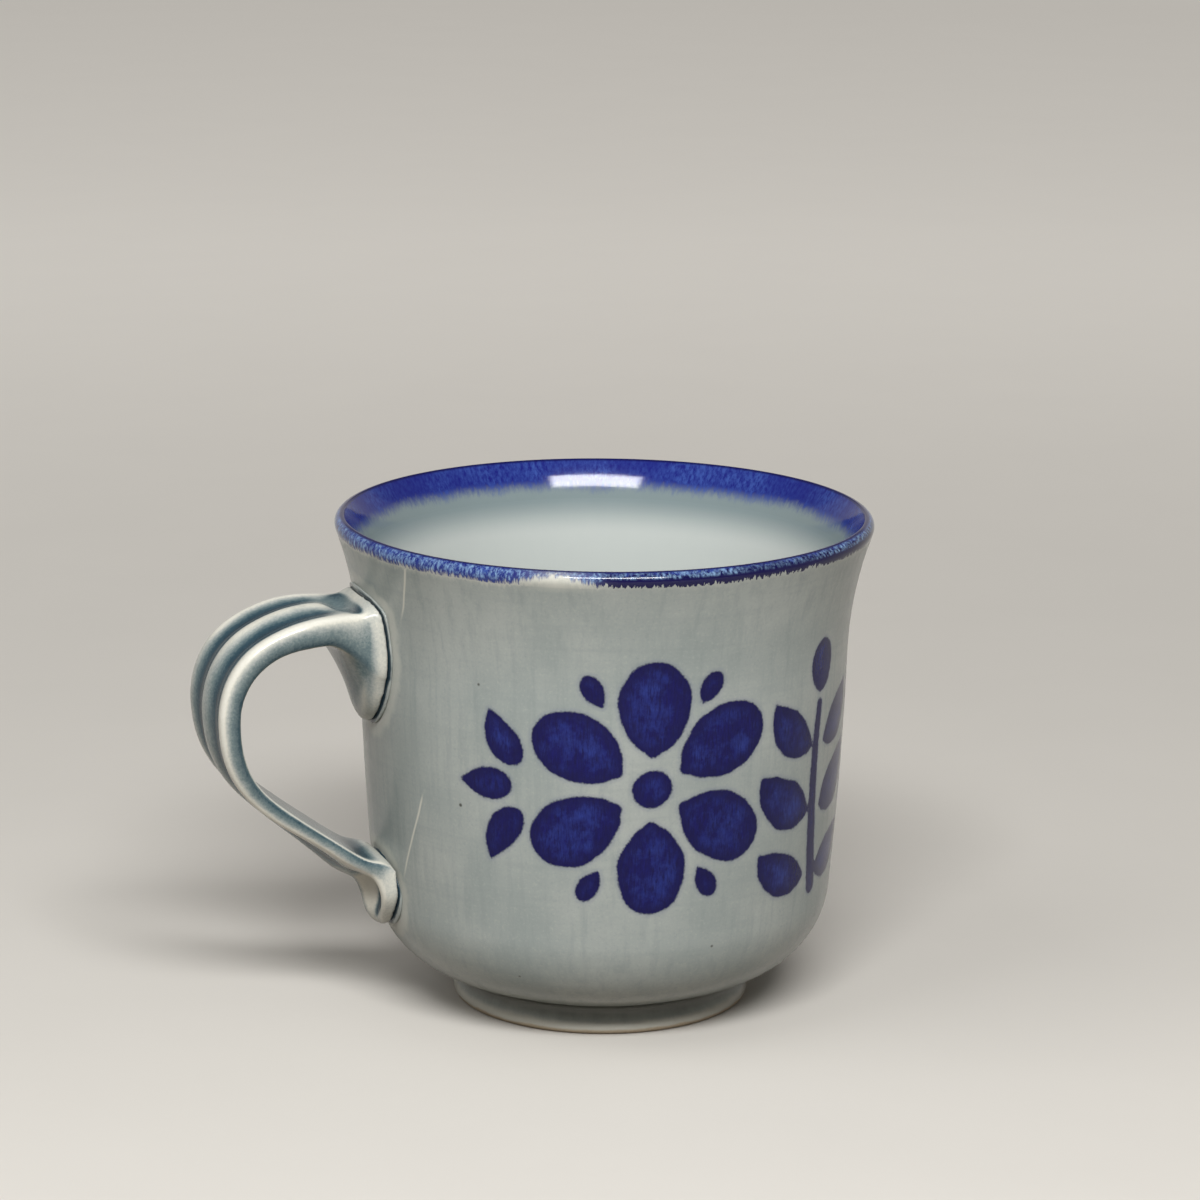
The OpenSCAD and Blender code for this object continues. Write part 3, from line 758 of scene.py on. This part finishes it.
def cup_glaze(colours):
    """Glossy grey-green stoneware glaze with brushed cobalt: soft clouds and specks, a painted
    border of streaked, feathered strokes, paler glaze drawn back from the handle's joints, and a
    paler inside that is partly painted light."""
    material, tree, shader, add = new_material("grey_green_stoneware_glaze")
    shade, normal = grey_green_glaze(add, colours)
    at = add("TexCoord", out="Object")
    run, joint, trail, shown, border = (
        add("Attribute", out="Fac", attribute_name=name)
        for name in ("run", "joint", "trail", "trail_shown", "border"))
    upright = add("VectorMath", {0: at, 1: (1, 1, 0.16)}, **TIMES)
    wobble, fuzz, hairs, patch = (
        add("TexNoise", {
            "Vector": way, "Scale": per_mm(size), "Detail": detail, "Roughness": rough})
        for way, size, detail, rough in (
            (at, 3, 2, 0.5), (at, 0.4, 3, 0.7), (upright, 0.34, 3, 0.75), (at, 4, 4, 0.65)))
    holes = add("TexVoronoi", {"Vector": at, "Scale": per_mm(16)})
    drawn = add("Math", {0: wobble, 1: -2.4, 2: joint}, **TIMES_PLUS)
    beside = add("Math", {0: trail}, operation="ABSOLUTE")
    edge = border
    for pattern, reach in ((wobble, 0.35), (fuzz, 0.6)):
        edge = add("Math", {0: pattern, 1: reach, 2: edge}, **TIMES_PLUS)
    edge = add("Math", {0: edge, 1: 0.42}, operation="SUBTRACT")
    inner, streaks, dry, holes = (
        add("MapRange", zip(SHARE, row)) for row in (
            (run, -2, -4, 0.9), (hairs, 0.32, 0.68, 1), (patch, 0.44, 0.64, 1),
            (holes, 0.018, 0.011, 0.9)))
    halo, trail, painted, middle, bleed = (
        add("MapRange", zip(SHARE, row), **SMOOTH) for row in (
            (drawn, 1.6, 0, 0.38), (beside, 0.34, 0.06, 0.8), (edge, 0.2, -0.2, 1),
            (edge, -0.2, -2.8, 1), (edge, 0.8, 0.1, 0.14)))
    # Pigment lies deep at the edges of a stroke, and streaked or combed dry in its middle
    solid = add("MapRange", {"Value": middle, "To Min": 0.4})
    combed = {"Value": hairs, "From Min": 0.34, "From Max": 0.6, "To Min": 0.15, "To Max": 0.95}
    trail, laid, dry = (
        reduce(lambda a, b: add("Math", {0: a, 1: b}, **TIMES), shares) for shares in (
            (trail, shown), (streaks, solid), (dry, middle, add("MapRange", combed))))
    # Pin-holes in the glaze show the pale clay through the paint
    blue = colours.paint_deep
    for share, tint in (
            (laid, colours.paint), (dry, colours.paint_pale), (holes, colours.glaze_thin_and_lit)):
        blue = add("Mix", {FAC: share, A: blue, B: tint}, **COLOUR_MIX)
    # The inside is mixed paler: partly its own glaze, partly painted light for the light that falls
    # in
    for share, tint in (
            (inner, colours.glaze_inside_and_light), (halo, colours.glaze_thin_and_lit), (trail, colours.glaze_thin_and_lit),
            (bleed, colours.paint_pale), (painted, blue)):
        shade = add("Mix", {FAC: share, A: shade, B: tint}, **COLOUR_MIX)
    feed(tree, shader, {
        "Base Color": cobalt_lip(add, colours, shade), "Normal": normal, "Specular IOR Level": 0.25,
        "Roughness": add("MapRange", {"Value": wobble, "To Min": 0.16, "To Max": 0.3})})
    return material


def rim_glaze(colours):
    """Cobalt glaze brushed over the lip: bright blue glass with pale crystals."""
    material, tree, shader, add = new_material("brushed_cobalt_rim_glaze")
    shade, normal = grey_green_glaze(add, colours)
    feed(tree, shader, {
        "Base Color": cobalt_lip(add, colours, shade), "Normal": normal, "Roughness": 0.1,
        "Specular IOR Level": 0.35})
    return material


def strap_glaze(colours):
    """Breaking glaze on the pulled strap: cream where it thins over ribs and edges, dark teal where
    it pools in the grooves, and speckled teal on the sides, with painted shade where they turn in
    to the finger gap."""
    material, tree, shader, add = new_material("breaking_glaze_on_pulled_strap")
    at = add("TexCoord", out="Object")
    level = add("Attribute", out="Fac", attribute_name="thinness_and_shade")
    grain = add("TexNoise", {"Vector": at, "Scale": per_mm(0.42), "Detail": 3, "Roughness": 0.7})
    cloud = add("TexNoise", {"Vector": at, "Scale": per_mm(5), "Detail": 3})
    for pattern, reach in ((grain, 0.3), (cloud, 0.24)):
        level = add("Math", {0: pattern, 1: reach, 2: level}, **TIMES_PLUS)
    level = add("Math", {0: level, 1: 0.27}, operation="SUBTRACT")
    # Low levels include the painted shade on the sides that turn in to the finger gap
    shade = add("ValToRGB", {"Fac": level}, ramp=(
        (0.0, colours.glaze_pool), (0.18, colours.glaze_seep), (0.38, colours.glaze_teal),
        (0.58, colours.glaze), (0.8, colours.glaze_thin_and_lit), (1.0, colours.glaze_bare)))
    height = add("Math", {0: grain, 1: 0.006}, **TIMES)
    feed(tree, shader, {
        "Base Color": shade, "Roughness": 0.2, "Specular IOR Level": 0.4,
        "Normal": add("Bump", {"Height": height, "Distance": MM})})
    return material


def joint_glaze(colours):
    """Glaze over the slip in the joints: a dark line of teal glass pooled in the crease beside the
    strap, running out into the wall's grey-green."""
    material, tree, shader, add = new_material("glaze_pooled_over_slip")
    shade, normal = grey_green_glaze(add, colours)
    at = add("TexCoord", out="Object")
    crease = add("Attribute", out="Fac", attribute_name="crease")
    wander = add("TexNoise", {"Vector": at, "Scale": per_mm(3), "Detail": 3})
    line = add("Math", {0: wander, 1: -0.5, 2: crease}, **TIMES_PLUS)
    pooled = add("MapRange", {"Value": line, "From Min": 0.3, "From Max": -0.05}, **SMOOTH)
    shade = add("Mix", {FAC: pooled, A: shade, B: colours.glaze_pool}, **COLOUR_MIX)
    feed(tree, shader, {
        "Base Color": shade, "Normal": normal, "Roughness": 0.18, "Specular IOR Level": 0.3})
    return material


def foot_glaze(colours):
    """Turned foot: painted shade in the cove, painted light on the flare below it, and then bare
    stoneware at the edge.
    """
    material, tree, shader, add = new_material("turned_stoneware_foot")
    shade, normal = grey_green_glaze(add, colours)
    at = add("TexCoord", out="Object")
    up = add("SeparateXYZ", {0: at}, "Z")
    wander = add("TexNoise", {"Vector": at, "Scale": per_mm(4), "Detail": 3})
    grit = add("TexNoise", {"Vector": at, "Scale": per_mm(0.4), "Detail": 3})
    clay = add("Mix", {FAC: grit, A: colours.clay, B: colours.clay_grit}, **COLOUR_MIX)
    line = add("Math", {0: wander, 1: 0.9 * MM, 2: up}, **TIMES_PLUS)
    # Heights up the foot where each finish starts and is full, how far it covers, and its colour:
    #     # painted light on the flare low on the foot, painted shade in the cove, and bare clay at
    #     the edge
    finishes = (
        (3.0, 2.0, 0.75, colours.glaze_thin_and_lit), (2.6, 4.4, 0.85, colours.cove), (1.5, 1.1, 1.0, clay))
    for start, full, cover, tint in finishes:
        share = add("MapRange", zip(SHARE, (line, start * MM, full * MM, cover)), **SMOOTH)
        shade = add("Mix", {FAC: share, A: shade, B: tint}, **COLOUR_MIX)
    feed(tree, shader, {
        "Base Color": shade, "Normal": normal,
        "Roughness": add("MapRange", {"Value": share, "To Min": 0.28, "To Max": 0.75})})
    return material


def stand_for(piece, node, material):
    """Dress a piece, let it ride on the mug and let it stand for its solid."""
    piece.data.materials.clear()
    piece.data.materials.append(material)
    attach(piece, "root")
    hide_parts(node)


class MUG_OT_cup(bpy.types.Operator):
    """Throw the cup, mark its lip, border and joints, and glaze it"""

    bl_idname = "mug.cup"
    bl_label = "Cup"

    def execute(self, context):
        s = context.scene.mug_sizes
        form = mug_form(s)
        cup = lathe("cup", cup_outline(s, form), s.turns)
        store_run(cup, s, form)
        store_border(cup)
        store_distance(cup, "joint", SLIP_NODES, JOINT_REACH)
        stand_for(cup, "cup_body", cup_glaze(context.scene.mug_colours))
        return {"FINISHED"}


class MUG_OT_foot(bpy.types.Operator):
    """Turn the foot ring with its cove"""

    bl_idname = "mug.foot"
    bl_label = "Foot ring"

    def execute(self, context):
        s = context.scene.mug_sizes
        foot = lathe("foot", foot_outline(s), FOOT_TURNS)
        stand_for(foot, "foot_ring", foot_glaze(context.scene.mug_colours))
        return {"FINISHED"}


class MUG_OT_rim(bpy.types.Operator):
    """Brush the cobalt band over the lip"""

    bl_idname = "mug.rim"
    bl_label = "Rim glaze"

    def execute(self, context):
        s = context.scene.mug_sizes
        form = mug_form(s)
        face = lip_face(s, form, 0, s.row * 0.5)
        seat = lip_face(s, form, s.glaze_thickness, s.row)
        rim = lathe("rim_glaze", no_repeats(face + seat[::-1] + face[:1]), s.turns)
        store_run(rim, s, form)
        stand_for(rim, "rim_glaze_band", rim_glaze(context.scene.mug_colours))
        return {"FINISHED"}


class MUG_OT_joints(bpy.types.Operator):
    """Press the slip out round both ends of the handle"""

    bl_idname = "mug.joints"
    bl_label = "Slip joints"

    def execute(self, context):
        material = joint_glaze(context.scene.mug_colours)
        for node in SLIP_NODES:
            bead = merged_copy(node, node.replace("_slip", ""))
            soft_skin(bead, *SLIP_SKIN)
            store_distance(bead, "crease", ("handle",), CREASE_REACH)
            stand_for(bead, node, material)
        return {"FINISHED"}


class MUG_OT_handle(bpy.types.Operator):
    """Pull the strap handle and let its glaze break over the ribs"""

    bl_idname = "mug.handle"
    bl_label = "Handle"

    def execute(self, context):
        strap = merged_copy("handle", "strap_handle")
        finish_with(strap, "SUBSURF", levels=2, render_levels=2)
        soft_skin(strap, *STRAP_SKIN)
        store_thinness_and_shade(strap)
        stand_for(strap, "handle", strap_glaze(context.scene.mug_colours))
        return {"FINISHED"}


# Camera of the photograph's view: a turn from the mug's front that brings the handle forward
VIEW_TURN = math.radians(-19.7)
VIEW_RISE = math.radians(13.613)
VIEW_ROLL = math.radians(0.5276)
VIEW_DISTANCE = 734.6 * MM
VIEW_AIM = Vector((-0.608, 0, 67.395)) * MM
VIEW_LENS = 133.06
SENSOR = 36
# Each lamp's turn from the camera and rise in degrees, distance and size in metres, and watts
LAMPS = (
    ("key_softbox", 5, 43, 0.95, (0.62, 0.17), 10.0),
    ("left_fill", -65, 45, 1.3, (0.9, 0.9), 3.8))
LAMP_AIM = Vector((0, 0, 45)) * MM
SKY_STRENGTH = 0.27
# Floor in metres: where its flat ends, the radius of its bend, and how far in front of the mug the
# softbox lights it most. Its glow grows between two distances from there.
FLOOR_FLAT, FLOOR_BEND = 1.6, 0.8
FLOOR_STEPS = 96
LIT_PLACE = 0.7
GLOW = {"From Min": 0.75, "From Max": 1.55, "To Max": 0.46}


class MUG_OT_stage(bpy.types.Operator):
    """Set the pale studio floor, the soft lights and the camera"""

    bl_idname = "mug.stage"
    bl_label = "Studio"

    def execute(self, context):
        colours = context.scene.mug_colours
        self.add_floor(colours)
        self.add_lights(context.scene, colours)
        self.add_camera(context.scene)
        return {"FINISHED"}

    def add_floor(self, colours):
        """A round floor that curves up into a low wall."""
        flat = [(0, 0), (0.1, 0), (0.4, 0), (1.0, 0)]
        bend = arc(Vector((FLOOR_FLAT, FLOOR_BEND)), FLOOR_BEND, -math.pi / 2, 0, FLOOR_BEND / 10)
        floor = lathe("studio_floor", flat + bend, FLOOR_STEPS)
        material, tree, shader, add = new_material("matt_studio_floor")
        at = add("TexCoord", out="Object")
        grain = add("TexNoise", {"Vector": at, "Scale": per_mm(40), "Detail": 4})
        soft = tuple(c * 0.96 for c in colours.floor[:3]) + (1,)
        shade = add("Mix", {FAC: grain, A: colours.floor, B: soft}, **COLOUR_MIX)
        seen = add("LightPath", out="Is Camera Ray")
        for ray in ("Is Glossy Ray", "Is Transmission Ray"):
            seen = add("Math", {0: seen, 1: add("LightPath", out=ray)}, operation="MAXIMUM")
        # It looks pale, and throws little light back on the mug
        shade = add("Mix", {FAC: seen, A: colours.floor_return, B: shade}, **COLOUR_MIX)
        # Out of the softbox's reach it glows to the eye alone, so that the backdrop stays pale
        lit = self.direction(VIEW_TURN, 0) * LIT_PLACE
        away = add("VectorMath", {0: at, 1: lit}, "Value", operation="DISTANCE")
        away = add("MapRange", {"Value": away, **GLOW}, **SMOOTH)
        feed(tree, shader, {
            "Base Color": shade, "Roughness": 0.9, "Specular IOR Level": 0.1,
            "Emission Color": colours.floor,
            "Emission Strength": add("Math", {0: away, 1: seen}, **TIMES)})
        floor.data.materials.append(material)

    def add_lights(self, scene, colours):
        """One softbox over the camera, a weak fill from the left and an even sky."""
        for name, turn, rise, distance, size, power in LAMPS:
            lamp = bpy.data.lights.new(name, "AREA")
            lamp.shape = "RECTANGLE"
            lamp.size, lamp.size_y = size
            lamp.energy = power
            holder = bpy.data.objects.new(name, lamp)
            scene.collection.objects.link(holder)
            holder.visible_glossy = name == "key_softbox"
            away = self.direction(VIEW_TURN + math.radians(turn), math.radians(rise))
            holder.location = LAMP_AIM + away * distance
            holder.rotation_euler = away.to_track_quat("Z", "Y").to_euler()
        world = scene.world or bpy.data.worlds.new("studio_sky")
        scene.world = world
        world.use_nodes = True
        background = next(n for n in world.node_tree.nodes if n.type == "BACKGROUND")
        feed(world.node_tree, background, {"Color": colours.sky, "Strength": SKY_STRENGTH})
        scene.view_settings.view_transform = "Standard"

    def add_camera(self, scene):
        """The photograph's camera, from its fitted lens, distance, rise and roll."""
        back = self.direction(VIEW_TURN, VIEW_RISE)
        aim = Matrix.Rotation(VIEW_TURN, 3, "Z") @ VIEW_AIM
        right = Vector((0, 0, 1)).cross(back).normalized()
        up = back.cross(right)
        rolled = right * math.cos(VIEW_ROLL) + up * math.sin(VIEW_ROLL)
        upright = up * math.cos(VIEW_ROLL) - right * math.sin(VIEW_ROLL)
        lens = bpy.data.cameras.new("camera")
        lens.sensor_width = SENSOR
        lens.lens = VIEW_LENS
        camera = bpy.data.objects.new("camera", lens)
        camera.matrix_world = Matrix.Translation(aim + back * VIEW_DISTANCE) @ Matrix(
            (rolled, upright, back)).transposed().to_4x4()
        scene.collection.objects.link(camera)
        scene.camera = camera

    @staticmethod
    def direction(turn, rise):
        """Unit vector from the mug at a turn from its front and a rise above the table."""
        flat = math.cos(rise)
        return Vector((math.sin(turn) * flat, -math.cos(turn) * flat, math.sin(rise)))


OPERATORS = (MUG_OT_cup, MUG_OT_foot, MUG_OT_rim, MUG_OT_joints, MUG_OT_handle, MUG_OT_stage)


class VIEW3D_PT_mug(bpy.types.Panel):
    """Sizes, colours and pieces of the mug"""

    bl_label = "Stoneware Mug"
    bl_space_type = "VIEW_3D"
    bl_region_type = "UI"
    bl_category = "Mug"

    def draw(self, context):
        for group in (context.scene.mug_sizes, context.scene.mug_colours):
            box = self.layout.box()
            for name in group.__annotations__:
                box.prop(group, name)
        for operator in OPERATORS:
            self.layout.operator(operator.bl_idname)


CLASSES = (MugSizes, MugColours, *OPERATORS, VIEW3D_PT_mug)


def register():
    for cls in CLASSES:
        bpy.utils.register_class(cls)
    bpy.types.Scene.mug_sizes = PointerProperty(type=MugSizes)
    bpy.types.Scene.mug_colours = PointerProperty(type=MugColours)


def unregister():
    del bpy.types.Scene.mug_sizes
    del bpy.types.Scene.mug_colours
    for cls in reversed(CLASSES):
        bpy.utils.unregister_class(cls)


def main():
    """Make every piece and the stage."""
    register()
    for piece in ("stage", "cup", "foot", "rim", "joints", "handle"):
        getattr(bpy.ops.mug, piece)()


if __name__ == "__main__":
    main()
